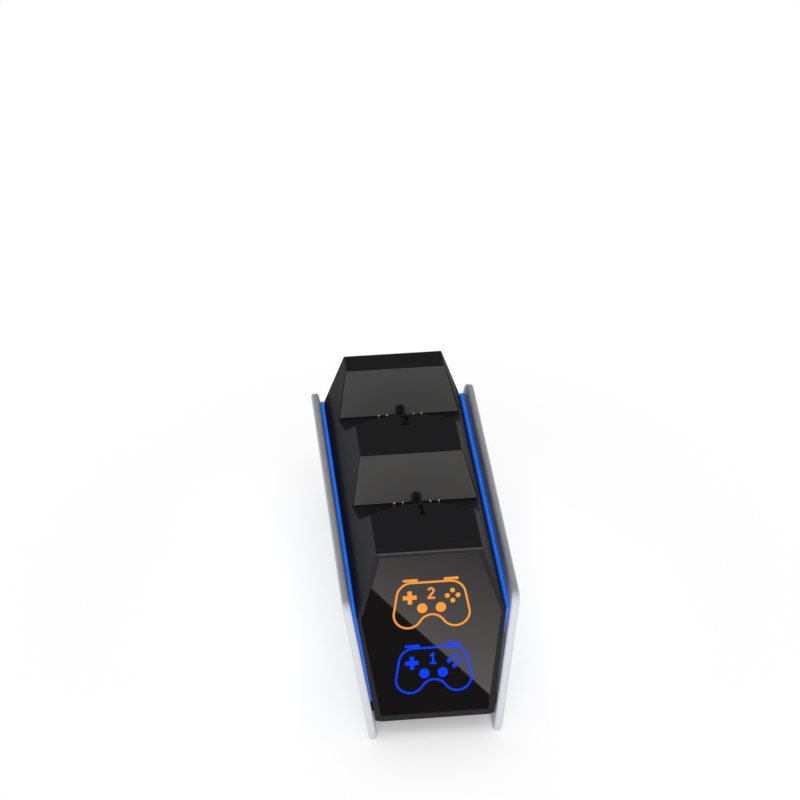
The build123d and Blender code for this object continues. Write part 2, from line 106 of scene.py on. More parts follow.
# %% Sockets that can be added and multiplied
class Wire:
    """An output socket. Arithmetic on it adds Math nodes to its tree."""

    def __init__(self, tree, socket):
        self.tree = tree
        self.socket = socket

    def math(self, operation, *values):
        node = self.tree.nodes.new("ShaderNodeMath")
        node.operation = operation
        for place, value in zip(node.inputs, values):
            if isinstance(value, Wire):
                self.tree.links.new(value.socket, place)
            else:
                place.default_value = value
        return Wire(self.tree, node.outputs[0])

    def __add__(self, other):
        return self.math("ADD", self, other)

    def __radd__(self, other):
        return self.math("ADD", other, self)

    def __sub__(self, other):
        return self.math("SUBTRACT", self, other)

    def __rsub__(self, other):
        return self.math("SUBTRACT", other, self)

    def __mul__(self, other):
        return self.math("MULTIPLY", self, other)

    def __rmul__(self, other):
        return self.math("MULTIPLY", other, self)

    def __truediv__(self, other):
        return self.math("DIVIDE", self, other)

    def __gt__(self, other):
        return self.math("GREATER_THAN", self, other)

    def __abs__(self):
        return self.math("ABSOLUTE", self)

    def cosine(self):
        return self.math("COSINE", self)

    def clamped(self):
        return self.math("MINIMUM", self.math("MAXIMUM", self, 0.0), 1.0)


print("arithmetic on sockets ready")

# %% [markdown]
# ## One class for every finish
# Each finish starts from a Principled shader. Every other node comes from one method, which takes the node's
# type, its settings and what goes into its sockets. Patterns read Object coordinates, which are metres
# here, so a grain keeps its real size on every piece.


# %% Finish
class Finish:
    """A material under construction, with one Principled shader at its end."""

    def __init__(self, name):
        self.material = bpy.data.materials.new(name)
        self.material.use_nodes = True
        self.tree = self.material.node_tree
        self.tree.nodes.clear()
        self.shader = self.node("ShaderNodeBsdfPrincipled")
        self.output = self.node("ShaderNodeOutputMaterial", {}, {"Surface": self.wire(self.shader)})

    def node(self, kind, settings=None, sockets=None):
        made = self.tree.nodes.new(kind)
        for name, value in (settings or {}).items():
            setattr(made, name, value)
        self.fill(made, sockets or {})
        return made

    def fill(self, made, sockets):
        for name, value in sockets.items():
            if isinstance(value, Wire):
                self.tree.links.new(value.socket, made.inputs[name])
            else:
                made.inputs[name].default_value = value

    def wire(self, made, output=0):
        return Wire(self.tree, made.outputs[output])

    def surface(self, **sockets):
        """Sets the Principled shader's sockets, with spaces in their names written as underscores."""
        self.fill(self.shader, {name.replace("_", " "): value for name, value in sockets.items()})
        return self.material

    def place(self, stretch=(1, 1, 1)):
        """Object coordinates, stretched along the axes."""
        coordinates = self.wire(self.node("ShaderNodeTexCoord"), "Object")
        return self.wire(self.node("ShaderNodeMapping", {}, {"Vector": coordinates, "Scale": stretch}))

    def part_of(self, vector, letter):
        return self.wire(self.node("ShaderNodeSeparateXYZ", {}, {"Vector": vector}), letter)

    def axis(self, letter):
        """One of the object coordinates X, Y or Z, in metres."""
        return self.part_of(self.place(), letter)

    def facing(self, letter):
        """How much the surface faces along X, Y or Z, from -1 to 1."""
        return self.part_of(self.wire(self.node("ShaderNodeTexCoord"), "Normal"), letter)

    def noise(self, size_mm, detail=2.0, stretch=(1, 1, 1)):
        """Soft noise from 0 to 1 with spots of about the given size."""
        sockets = {"Vector": self.place(stretch), "Scale": 1000 / size_mm, "Detail": detail}
        return self.wire(self.node("ShaderNodeTexNoise", {}, sockets), "Fac")

    def cells(self, size_mm):
        """Distance to the nearest of many scattered points, for pebbled mould textures."""
        sockets = {"Vector": self.place(), "Scale": 1000 / size_mm}
        return self.wire(self.node("ShaderNodeTexVoronoi", {}, sockets), "Distance")

    def tint(self, share, first, second):
        """A colour between two colours."""
        ends = [colour if isinstance(colour, Wire) else (*colour, 1) for colour in (first, second)]
        made = self.node("ShaderNodeMix", {"data_type": "RGBA"}, {0: share, 6: ends[0], 7: ends[1]})
        return self.wire(made, 2)

    def relief(self, height, depth_mm, strength, edge_mm=0.0):
        """A surface normal with a fine relief, and edges that look rounded by the given radius."""
        sockets = {"Height": height, "Strength": strength, "Distance": depth_mm * MM}
        if edge_mm:
            rounded = self.node("ShaderNodeBevel", {"samples": 6}, {"Radius": edge_mm * MM})
            sockets["Normal"] = self.wire(rounded, "Normal")
        return self.wire(self.node("ShaderNodeBump", {}, sockets), "Normal")


print("finish class ready")

# %% [markdown]
# ## Black mouldings
# The core is injection moulded. The mould's cavity is eroded by sparks, which leaves fine pits: they scatter
# light, so the black looks matte and deep. Pebbles from cell noise plus finer grain give those pits, and a
# slow drift of colour and gloss keeps large faces from looking like paper. A bevel in the normal gives each
# sharp edge the thin light line that mouldings have. The bezel comes from a finer mould: its rounded upper
# edge is burnished, which a clear coat on the turned part of the surface gives.

# %% Black plastics
moulded_dark = (0.022, 0.022, 0.0242)
moulded_light = (0.0355, 0.0355, 0.0388)
moulded_gloss = 0.03
pit_size = 0.34
grain_size = 0.16
turned_edge = (0.5, 0.985)


def matte_black(name):
    made = Finish(name)
    pits = made.cells(pit_size) * 0.6 + made.noise(grain_size) * 0.4
    made.surface(
        Base_Color=made.tint(made.noise(26, 3.0) * 0.4 + pits * 0.9, moulded_dark, moulded_light),
        Roughness=0.6 + made.noise(9) * 0.12,
        Specular_IOR_Level=moulded_gloss,
        Normal=made.relief(pits, 0.03, 0.35, 0.3),
    )
    return made


def core_black():
    return matte_black("core_black").material


def bezel_black():
    made = matte_black("bezel_black")
    rise = made.facing("Z")
    burnished = ((rise - turned_edge[0]) / 0.2).clamped() * ((turned_edge[1] - rise) / 0.03).clamped()
    return made.surface(Coat_Weight=burnished * 0.8, Coat_Roughness=0.22)


def inner_black():
    made = Finish("inner_black")
    return made.surface(
        Base_Color=made.tint(made.noise(3), (0.012, 0.012, 0.012), (0.02, 0.02, 0.021)),
        Roughness=0.5 + made.noise(1.2) * 0.2,
        Specular_IOR_Level=0.3,
        Normal=made.relief(made.noise(0.3), 0.02, 0.3, 0.1),
    )


finishes = {maker.__name__: maker() for maker in (core_black, bezel_black, inner_black)}
print("black finishes:", ", ".join(finishes))

# %% [markdown]
# ## White plates, grey pads and rubber
# The white plates are satin, a touch cool, and a little smoother than the core. The pads behind the bays
# are a softer plastic, dark grey with a low sheen, so that a gamepad leans on them without scratches. A
# pad is set into the core, and the shadow in the gap along its two sides is painted: the finish turns
# black there, in a narrow strip that leans with the pad's sides. The strips under the plates are rubber:
# dull, with a coarser skin.

# %% White, grey and rubber
painted_gap_width = 0.32 * MM


def plate_white():
    made = Finish("plate_white")
    return made.surface(
        Base_Color=made.tint(made.noise(40), (0.735, 0.745, 0.805), (0.765, 0.775, 0.835)),
        Roughness=0.4 + made.noise(12) * 0.1,
        Specular_IOR_Level=0.45,
        Normal=made.relief(made.noise(0.22, 3.0), 0.012, 0.25, 0.3),
    )


def pad_side():
    """Half width that a pad would have at the table, and how much it shrinks with each metre of height."""
    mesh = nodes["bay_1_rest_pad"].data
    sideways = [polygon for polygon in mesh.polygons if polygon.normal.x > 0.5]
    side = max(sideways, key=lambda polygon: polygon.area)
    points = [mesh.vertices[corner].co for corner in side.vertices]
    low = min(points, key=lambda point: point.z)
    high = max(points, key=lambda point: point.z)
    shrink = (low.x - high.x) / (high.z - low.z)
    return low.x + low.z * shrink, shrink


def pad_grey():
    made = Finish("pad_grey")
    half_width, shrink = pad_side()
    # Painted shade: a black strip along the pad's sides stands in for the shadow in the gap to the core.
    past_painted_gap = abs(made.axis("X")) + made.axis("Z") * shrink - (half_width - painted_gap_width)
    painted_gap_shade = (past_painted_gap / (painted_gap_width / 3)).clamped()
    grey = made.tint(made.noise(14), (0.0232, 0.0228, 0.0222), (0.0288, 0.0282, 0.0275))
    return made.surface(
        Base_Color=made.tint(painted_gap_shade, grey, (0.004, 0.004, 0.004)),
        Roughness=0.42 + made.noise(6) * 0.08 + painted_gap_shade * 0.5,
        Specular_IOR_Level=0.45,
        Normal=made.relief(made.noise(0.2), 0.01, 0.2, 0.2),
    )


def foot_rubber():
    made = Finish("foot_rubber")
    return made.surface(
        Base_Color=made.tint(made.noise(2, 3.0), (0.012, 0.012, 0.012), (0.022, 0.022, 0.022)),
        Roughness=0.78 + made.noise(0.8) * 0.15,
        Specular_IOR_Level=0.3,
        Normal=made.relief(made.cells(0.25), 0.03, 0.4),
    )


finishes.update({maker.__name__: maker() for maker in (plate_white, pad_grey, foot_rubber)})
print("plastics:", len(finishes), "half width of the pads at the table in mm:", round(pad_side()[0] / MM, 2))

# %% [markdown]
# ## Smoked window
# The window is a sheet of smoked acrylic, black behind and polished in front: almost no colour of its own
# and a mirror-like gloss. A trace of wiping marks in the roughness keeps the mirror from being perfect.

# %% Window
window_roughness = 0.025
window_wiping = 0.02


def window_gloss():
    made = Finish("window_gloss")
    wiping = made.noise(5, 3.0, (0.4, 1, 1))
    return made.surface(
        Base_Color=made.tint(made.noise(18), (0.0036, 0.0027, 0.0027), (0.0046, 0.0035, 0.0035)),
        Roughness=window_roughness + wiping * window_wiping,
        Specular_IOR_Level=0.5,
        Normal=made.relief(made.noise(0.5), 0.002, 0.02, 0.2),
    )


finishes["window_gloss"] = window_gloss()
print("window roughness from", window_roughness, "to", round(window_roughness + window_wiping, 3))

# %% [markdown]
# ## Light lines
# A clear strip lies between core and plate with lamps below it. It glows most in the middle of its
# thickness and above each lamp, so the emission colour follows the depth across the strip and swells gently
# along it. The strip's mid-plane leans with the plate, so that depth is measured along the strip's own
# normal. The front legs are further from a lamp, so their line grows thinner downward, and the right one
# soon dies away below the knee.

# %% Light guides
lamp_pitch = 12.0 * MM
leg_foot = 0.0115
leg_knee = 0.0365
right_leg_dark = 0.0285
lamp_swell = 0.05
foot_thinning = 1.25
knee_gain = 0.6


def guide_plane():
    """Outward normal of the right strip, and the nearest and furthest depth of its points along it."""
    strip = nodes["right_light_guide"].data
    outward = max(strip.polygons, key=lambda polygon: polygon.normal.x).normal.copy()
    depths = [outward.dot(vertex.co) for vertex in strip.vertices]
    return outward, min(depths), max(depths)


def light_blue():
    made = Finish("light_blue")
    outward, inner, outer = guide_plane()
    depth = abs(made.axis("X")) * outward.x + made.axis("Z") * outward.z
    rim = abs((depth - (inner + outer) / 2) / ((outer - inner) / 2))
    swell = (made.axis("Y") * (2 * math.pi / lamp_pitch)).cosine() * lamp_swell + (1 - lamp_swell)
    rise = made.axis("Z")
    thinning = foot_thinning - ((rise - leg_foot) / (leg_knee - leg_foot)).clamped() * knee_gain
    fading = ((rise - right_leg_dark) / (leg_knee - right_leg_dark)).clamped()
    dying = 1 - (made.axis("X") > 0.0) * (1 - fading)
    level = (1 - rim * rim * thinning) * swell * dying + (made.noise(1.5) - 0.5) * 0.05
    return made.surface(
        Base_Color=(0.008, 0.009, 0.016, 1),
        Roughness=0.3,
        Emission_Color=made.tint(level.clamped(), (0.003, 0.002, 0.02), (0.012, 0.165, 0.9)),
        Emission_Strength=1.0,
    )


finishes["light_blue"] = light_blue()
print("strip thickness in mm:", round((guide_plane()[2] - guide_plane()[1]) / MM, 2))

# %% [markdown]
# ## Metals and boards
# The contacts are gold plated brass in dull barrels. A pin's colour and gloss follow how far its surface
# faces up: the nose gets a painted highlight and is smoother, and the stem gets painted shade. The inlet is
# a folded bright steel shell, and the screws are blackened. Drawn and rolled metal shows fine lines along
# one direction, which stretched noise gives. The boards carry a green lacquer over copper tracks. They are
# closed in, but they still get their real finish.


# %% Metals
def metal(name, dark, light, roughness, stretch):
    made = Finish(name)
    lines = made.noise(0.3, 3.0, stretch)
    return made.surface(
        Base_Color=made.tint(lines, dark, light),
        Metallic=1.0,
        Roughness=roughness + lines * 0.12,
        Normal=made.relief(lines, 0.006, 0.2, 0.06),
    )


def pin_gold():
    """Plated contact whose upward-facing nose gets a painted highlight and whose stem gets painted shade."""
    made = Finish("pin_gold")
    lines = made.noise(0.3, 3.0, (1, 1, 0.3))
    # Painted light: bright colour where the surface faces up, dark on the stem, a painted highlight and shade.
    painted_nose_highlight = ((made.facing("Z") - 0.4) / 0.3).clamped()
    return made.surface(
        Base_Color=made.tint(painted_nose_highlight * (lines * 0.3 + 0.7), (0.12, 0.095, 0.045), (0.6, 0.54, 0.34)),
        Metallic=1.0,
        Roughness=0.42 - painted_nose_highlight * 0.16 + lines * 0.1,
        Normal=made.relief(lines, 0.006, 0.2, 0.06),
    )


finishes["pin_gold"] = pin_gold()
finishes["contact_gold"] = metal("contact_gold", (0.72, 0.55, 0.24), (0.88, 0.70, 0.34), 0.2, (1, 1, 0.3))
finishes["barrel_brass"] = metal("barrel_brass", (0.05, 0.04, 0.022), (0.08, 0.062, 0.034), 0.5, (1, 1, 0.3))
finishes["inlet_steel"] = metal("inlet_steel", (0.5, 0.5, 0.51), (0.66, 0.66, 0.67), 0.22, (1, 0.1, 1))
finishes["screw_steel"] = metal("screw_steel", (0.05, 0.05, 0.052), (0.1, 0.1, 0.102), 0.34, (1, 1, 1))
finishes["spring_steel"] = metal("spring_steel", (0.44, 0.44, 0.45), (0.6, 0.6, 0.61), 0.25, (1, 1, 0.2))
print("metals: gold, dull brass, steel, blackened steel, spring wire")


# %% Boards and lamps
def board_green():
    made = Finish("board_green")
    sockets = {
        "Vector": made.place(),
        "Scale": 420.0,
        "Mortar Size": 0.04,
        "Mortar Smooth": 0.2,
    }
    tracks = made.wire(made.node("ShaderNodeTexBrick", {}, sockets), "Fac")
    return made.surface(
        Base_Color=made.tint(tracks, (0.012, 0.075, 0.03), (0.03, 0.15, 0.06)),
        Roughness=0.3 + made.noise(2) * 0.1,
        Normal=made.relief(tracks, 0.03, 0.4),
    )


def lamp_white():
    made = Finish("lamp_white")
    return made.surface(
        Base_Color=made.tint(made.noise(0.4), (0.85, 0.78, 0.45), (0.95, 0.9, 0.6)),
        Roughness=0.25 + made.noise(0.8) * 0.1,
        Normal=made.relief(made.noise(0.3), 0.01, 0.2, 0.1),
    )


finishes.update({maker.__name__: maker() for maker in (board_green, lamp_white)})
print("finishes:", len(finishes))

# %% [markdown]
# ## Dressing the solids
# The record names a finish slot for every solid. Each solid keeps its own mesh and only swaps the plain
# colour that it came with for the finish of the same slot. The bezel takes the finer black, and the barrels
# of the contacts the dull brass.

# %% Finish on every solid
bays = (1, 2)
finish_of = {part["node"]: part["material_slot"] for part in frame["record"]["subparts"]}
finish_of["front_bezel"] = "bezel_black"
finish_of.update({f"bay_{bay}_contact_barrels": "barrel_brass" for bay in bays})
for name, node in nodes.items():
    node.data.materials.clear()
    node.data.materials.append(finishes[finish_of[name]])
print("solids dressed:", len(finish_of))

# %% [markdown]
# ## Making new pieces
# Small pieces are drawn in millimetres as a bmesh, which is Blender's editable mesh, and end as a plain mesh
# in metres with its place in its points. A flat outline is raised to a thin plate, and a turned shape
# is a half outline carried round an axis. Corners sharper than 35 degrees stay sharp in the shading.

# %% Piece helpers
sharp_corner = math.radians(35)
arc_step = math.radians(6)
corner_signs = ((-1, -1), (1, -1), (1, 1), (-1, 1))


def linked(name, data):
    thing = bpy.data.objects.new(name, data)
    bpy.context.scene.collection.objects.link(thing)
    return thing


def arc(circle, first, last):
    """Points along a circle of (across, up, radius) from one angle to another."""
    across, up, radius = circle
    steps = max(2, round(abs(last - first) / arc_step))
    angles = [first + (last - first) * step / steps for step in range(steps + 1)]
    return [(across + radius * math.cos(angle), up + radius * math.sin(angle)) for angle in angles]


def rectangle(half_across, half_up):
    """Corners of a rectangle round the origin."""
    return [(half_across * across, half_up * up) for across, up in corner_signs]


def add_plate(shape, points, low, high):
    """Adds a flat plate with the given outline to a bmesh."""
    bottom = [shape.verts.new((across, up, low)) for across, up in points]
    top = [shape.verts.new((across, up, high)) for across, up in points]
    faces = [shape.faces.new(bottom), shape.faces.new(top)]
    for here in range(len(points)):
        there = (here + 1) % len(points)
        faces.append(shape.faces.new((bottom[here], bottom[there], top[there], top[here])))
    bmesh.ops.recalc_face_normals(shape, faces=faces)


def add_turned(shape, profile, sides=32):
    """Adds a turned piece, from its half outline of (radius, height) points, to a bmesh."""
    rings = []
    for radius, height in profile:
        angles = [2 * math.pi * side / sides for side in range(sides if radius else 1)]
        ring = [(radius * math.cos(angle), radius * math.sin(angle), height) for angle in angles]
        rings.append([shape.verts.new(point) for point in ring])
    faces = []
    for lower, upper in zip(rings, rings[1:]):
        for side in range(sides):
            after = side + 1
            corners = [lower[side % len(lower)], lower[after % len(lower)]]
            corners += [upper[after % len(upper)], upper[side % len(upper)]]
            faces.append(shape.faces.new(list(dict.fromkeys(corners))))
    bmesh.ops.recalc_face_normals(shape, faces=faces)


def mesh_from(name, shape):
    mesh = bpy.data.meshes.new(name)
    shape.to_mesh(mesh)
    shape.free()
    return mesh


def finished(name, mesh, finish, matrix, body, stands_for=()):
    """Places a mesh in millimetres as a piece of the dock."""
    mesh.materials.clear()
    mesh.materials.append(finishes[finish])
    mesh.transform(matrix @ Matrix.Scale(MM, 4))
    mesh.shade_smooth()
    mesh.set_sharp_from_angle(angle=sharp_corner)
    piece = linked(name, mesh)
    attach(piece, body)
    if stands_for:
        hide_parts(*stands_for)
    return piece


print("piece helpers ready")

# %% [markdown]
# ## Geometry Nodes for what repeats or follows a path
# Two small trees do most of it. One sweeps a flat profile along a path, for the outline of the signs. The
# other puts a copy of a piece on every point of a grid, for screws and contact strips. A third comes
# later, for the springs. Their sizes are named inputs, and the result is read back as a plain mesh.


# %% Tree helpers
def new_tree(name, lengths, counts=()):
    """A Geometry Nodes tree with a geometry, named sizes and a material as inputs, and its input node."""
    tree = bpy.data.node_groups.new(name, "GeometryNodeTree")
    sockets = [("Geometry", "NodeSocketGeometry")]
    sockets += [(length, "NodeSocketFloat") for length in lengths]
    sockets += [(count, "NodeSocketInt") for count in counts]
    sockets.append(("Material", "NodeSocketMaterial"))
    for label, kind in sockets:
        tree.interface.new_socket(label, in_out="INPUT", socket_type=kind)
    tree.interface.new_socket("Geometry", in_out="OUTPUT", socket_type="NodeSocketGeometry")
    return tree, grow(tree, "NodeGroupInput").outputs


def grow(tree, kind, settings=None, sockets=None):
    """Adds a node to a tree: its settings first, then values or links for its sockets."""
    made = tree.nodes.new(kind)
    for name, value in (settings or {}).items():
        setattr(made, name, value)
    for name, value in (sockets or {}).items():
        if isinstance(value, bpy.types.NodeSocket):
            tree.links.new(value, made.inputs[name])
        else:
            made.inputs[name].default_value = value
    return made


def end_tree(tree, geometry, material):
    """Closes a tree with real geometry, one material and its output."""
    real = grow(tree, "GeometryNodeRealizeInstances", {}, {0: geometry})
    painted = grow(tree, "GeometryNodeSetMaterial", {}, {"Geometry": real.outputs[0], "Material": material})
    grow(tree, "NodeGroupOutput", {}, {0: painted.outputs[0]})
    return tree


def evaluated_mesh(thing):
    """The finished mesh of an object with its modifiers, which is then taken away."""
    bpy.context.view_layer.update()
    graph = bpy.context.evaluated_depsgraph_get()
    mesh = bpy.data.meshes.new_from_object(thing.evaluated_get(graph), depsgraph=graph)
    thing.modifiers.clear()
    bpy.data.objects.remove(thing)
    return mesh


def run_tree(tree, data, values):
    """Runs a tree on a mesh or curve and returns the result as a plain mesh."""
    carrier = linked(tree.name, data)
    modifier = carrier.modifiers.new(tree.name, "NODES")
    modifier.node_group = tree
    for item in tree.interface.items_tree:
        if item.in_out == "INPUT" and item.name in values:
            modifier[item.identifier] = values[item.name]
    return evaluated_mesh(carrier)


print("tree helpers ready")


# %% Stroke tree and grid tree
def stroke_tree():
    """Sweeps a flat rectangle along a closed path."""
    tree, given = new_tree("stroke", ("Width", "Height"))
    sizes = {"Width": given["Width"], "Height": given["Height"]}
    profile = grow(tree, "GeometryNodeCurvePrimitiveQuadrilateral", {"mode": "RECTANGLE"}, sizes)
    path = {"Curve": given["Geometry"], "Profile Curve": profile.outputs[0]}
    swept = grow(tree, "GeometryNodeCurveToMesh", {}, path)
    return end_tree(tree, swept.outputs[0], given["Material"])


def grid_tree():
    """Puts a copy of a piece on every point of a grid."""
    tree, given = new_tree("grid", ("Width", "Length"), ("Columns", "Rows"))
    sizes = {"Size X": given["Width"], "Size Y": given["Length"]}
    sizes.update({"Vertices X": given["Columns"], "Vertices Y": given["Rows"]})
    points = grow(tree, "GeometryNodeMeshGrid", {}, sizes)
    copies = {"Points": points.outputs["Mesh"], "Instance": given["Geometry"]}
    placed = grow(tree, "GeometryNodeInstanceOnPoints", {}, copies)
    return end_tree(tree, placed.outputs[0], given["Material"])


stroke = stroke_tree()
grid = grid_tree()
print("trees:", stroke.name, "and", grid.name)

# %% [markdown]
# ## Signs behind the window
# Two lit signs show the charging state, orange for the second bay and blue for the first. Each is a plain
# gamepad mark with the number of its bay. The outline is a chain of arcs that meet without a corner, worked
# out from circles: two shoulders, two grips and the arch between the grips.


# %% Plane of the window
def window_plane():
    """Matrix of the window's face: X to the right, Y up the slope, Z outward, origin at table height."""
    window = nodes["display_window"].data
    face = min(window.polygons, key=lambda polygon: polygon.normal.y)
    outward = face.normal.copy()
    up_slope = outward.cross(Vector((1, 0, 0))).normalized()
    if up_slope.z < 0:
        up_slope.negate()
    corner = window.vertices[face.vertices[0]].co
    origin = corner - up_slope * (corner.z / up_slope.z)
    origin.x = 0
    matrix = Matrix((Vector((1, 0, 0)), up_slope, outward)).transposed().to_4x4()
    matrix.translation = origin
    return matrix


window_face = window_plane()
print("window leans back by", round(math.degrees(math.asin(window_face.col[2].z)), 2), "degrees")

# %% Sign outline
sign_shoulder = (5.6, 2.0, 4.4)
sign_grip = (6.9, -3.3, 4.1)
sign_arch_radius = 4.0


def sign_outline():
    """Right half clockwise from the top: shoulder, grip, arch; then its mirror image."""
    run = (sign_grip[0] - sign_shoulder[0], sign_grip[1] - sign_shoulder[1])
    tangent = math.atan2(run[1], run[0]) + math.acos((sign_shoulder[2] - sign_grip[2]) / math.hypot(*run))
    spread = sign_grip[2] + sign_arch_radius
    arch_up = sign_grip[1] - math.sqrt(spread ** 2 - sign_grip[0] ** 2)
    meet = math.atan2(arch_up - sign_grip[1], -sign_grip[0])
    arch_start = math.atan2(sign_grip[1] - arch_up, sign_grip[0])
    right = arc(sign_shoulder, math.pi / 2, tangent)
    right += arc(sign_grip, tangent, meet)[1:]
    right += arc((0, arch_up, sign_arch_radius), arch_start, math.pi / 2)[1:]
    left = [(-across, up) for across, up in reversed(right[:-1])]
    return right + left


def closed_path(points):
    curve = bpy.data.curves.new("path", "CURVE")
    curve.dimensions = "3D"
    spline = curve.splines.new("POLY")
    spline.points.add(len(points) - 1)
    for point, (across, up) in zip(spline.points, points):
        point.co = (across, up, 0, 1)
    spline.use_cyclic_u = True
    return curve


outline_points = sign_outline()
print("sign outline:", len(outline_points), "points")

# %% [markdown]
# ## Marks inside the signs
# Inside the outline lie a cross, four round buttons, two thumb sticks and the bay's number, and a bar lies
# on each shoulder. They are flat shapes as thick as the stroke. The numbers are drawn here as outlines,
# because they also lie on the deck: the one has a flag and a foot, the two is an arc that runs into a
# base.

# %% Outlines of the marks
cross_place = (-6.2, 1.9)
cross_span = 4.0
cross_arm = 1.25
buttons_place = (6.2, 1.9)
button_spread = 1.55
button_radius = 0.72
stick_places = ((-2.7, -1.5), (2.7, -1.5))
stick_radius = 1.5
bar_places = (-5.9, 5.9)
bar_up = 7.15
bar_length = 4.4
bar_width = 0.8
number_drawn_height = 4.6


def cross_points():
    half = cross_span / 2
    arm = cross_arm / 2
    points = []
    for turn in (Matrix.Rotation(math.pi / 2 * quarter, 2) for quarter in range(4)):
        points += [turn @ Vector(corner) for corner in ((half, -arm), (half, arm), (arm, arm))]
    return [(point.x + cross_place[0], point.y + cross_place[1]) for point in points]


def bar_points(across):
    half = (bar_length - bar_width) / 2
    right = arc((across + half, bar_up, bar_width / 2), -math.pi / 2, math.pi / 2)
    return right + arc((across - half, bar_up, bar_width / 2), math.pi / 2, math.pi * 3 / 2)


def disc_points(place, radius):
    return arc((*place, radius), 0, 2 * math.pi)[:-1]


def button_places():
    across, up = buttons_place
    spread = button_spread
    return (across + spread, up), (across, up + spread), (across - spread, up), (across, up - spread)


def number_points(bay, height):
    """Outline of the number 1 or 2, centred on its middle."""
    one = [(-1.2, -2.3), (1.2, -2.3), (1.2, -1.5), (0.45, -1.5), (0.45, 2.3), (-0.2, 2.3)]
    one += [(-1.2, 1.5), (-1.2, 0.55), (-0.4, 1.15), (-0.4, -1.5), (-1.2, -1.5)]
    start = math.radians(168)
    end = math.radians(-35)
    two = arc((0, 0.95, 1.35), start, end)
    two += [(-0.25, -1.5), (1.4, -1.5), (1.4, -2.3), (-1.4, -2.3), (-1.4, -1.6)]
    two += arc((0, 0.95, 0.55), end, start)
    scale = height / number_drawn_height
    return [(across * scale, up * scale) for across, up in (one, two)[bay - 1]]


print("points of the numbers:", len(number_points(1, 1)), "and", len(number_points(2, 1)))

# %% [markdown]
# ## Sign colour
# The signs shine through clear lines in the window's back print. Their glow outshines what the sheet
# reflects, so the finish is a strong, nearly even glow with only a trace of the window's gloss on top.

# %% Signs
sign_stroke = 0.6
sign_height = 0.06
sign_number_height = 3.6
sign_number_up = 3.0
sign_dimmest = 0.92
signs = {
    "charge_sign_2": {"bay": 2, "up": 41.8, "colour": (1.0, 0.352, 0.036), "slot": "lamp_white"},
    "charge_sign_1": {"bay": 1, "up": 21.6, "colour": (0.001, 0.05, 1.0), "slot": "light_blue"},
}


def sign_light(name, colour):
    made = Finish(name)
    dimmer = tuple(part * sign_dimmest for part in colour)
    return made.surface(
        Base_Color=(0.004, 0.004, 0.004, 1),
        Roughness=0.03 + made.noise(5, 3.0) * 0.02,
        Specular_IOR_Level=0.08,
        Emission_Color=made.tint(made.noise(4), dimmer, colour),
        Emission_Strength=1.0,
    )


def make_sign(name, sign):
    values = {"Width": sign_stroke, "Height": 2 * sign_height, "Material": finishes[name]}
    shape = bmesh.new()
    shape.from_mesh(run_tree(stroke, closed_path(outline_points), values))
    marks = [cross_points()]
    marks += [disc_points(place, button_radius) for place in button_places()]
    marks += [disc_points(place, stick_radius) for place in stick_places]
    marks += [bar_points(across) for across in bar_places]
    number = number_points(sign["bay"], sign_number_height)
    marks.append([(across, up + sign_number_up) for across, up in number])
    for points in marks:
        add_plate(shape, points, -sign_height, sign_height)
    place = window_face @ Matrix.Translation((0, sign["up"] * MM, 0))
    return finished(name, mesh_from(name, shape), name, place, "dock")


for name, sign in signs.items():
    finishes[name] = sign_light(name, sign["colour"])
    print(name, len(make_sign(name, sign).data.polygons), "faces")

# %% [markdown]
# ## Numbers on the deck
# Each bay has its number on the deck in front of it, in a black print on the black moulding, so it is only
# seen as a darker mark. The print is a very thin layer that lies on the deck just before the bay.

# %% Deck numbers
deck_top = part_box("housing")[1].z
deck_number_height = 4.8
deck_number_slim = 0.8
deck_number_back = 17.1 * MM
print_thickness = 0.01


def print_black():
    made = Finish("print_black")
    return made.surface(
        Base_Color=made.tint(made.noise(2), (0.0006, 0.0006, 0.0006), (0.001, 0.001, 0.001)),
        Roughness=0.6 + made.noise(1) * 0.1,
        Specular_IOR_Level=0.02,
    )


finishes["print_black"] = print_black()
for bay in bays:
    shape = bmesh.new()
    number = [(across * deck_number_slim, up) for across, up in number_points(bay, deck_number_height)]
    add_plate(shape, number, -print_thickness, print_thickness)
    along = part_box(f"bay_{bay}_rest_pad")[0].y - deck_number_back
    name = f"deck_number_{bay}"
    place = Matrix.Translation((0, along, deck_top))
    finished(name, mesh_from(name, shape), "print_black", place, "dock")
    print(name, "at y", round(along, 4))

# %% [markdown]
# ## Lips beside the bezel
# The slot between bezel and plate grows narrower towards the foot, because the bezel has a thin lip on each
# side there. It is a long wedge in the plane of the window, a little below the bezel's front and just before
# the light strip. One outline serves both sides, with its points mirrored for the left.

# %% Bezel lips
lip_front = -0.02
lip_back = -0.18
lip_outline = ((20.9, 37.6), (21.55, 38.3), (17.4, 6.2), (16.1, 6.2))

for side, sign in (("left", -1), ("right", 1)):
    shape = bmesh.new()
    add_plate(shape, [(sign * across, up) for across, up in lip_outline], lip_back, lip_front)
    name = f"{side}_bezel_lip"
    finished(name, mesh_from(name, shape), "bezel_black", window_face, "dock")
    print(name, "made")

# %% [markdown]
# ## Domed contact pins
# A spring contact is a turned pin with a domed nose, so that it slides onto its pad, and a collar that keeps
# it in its barrel. Each pin moves by itself, so each is a piece of its own on its own body. Its sizes
# are read from the solid that it stands for, along the axis on which it is pressed.

# %% Contact pins
collar_bevel = 0.1
tiny = 1e-6


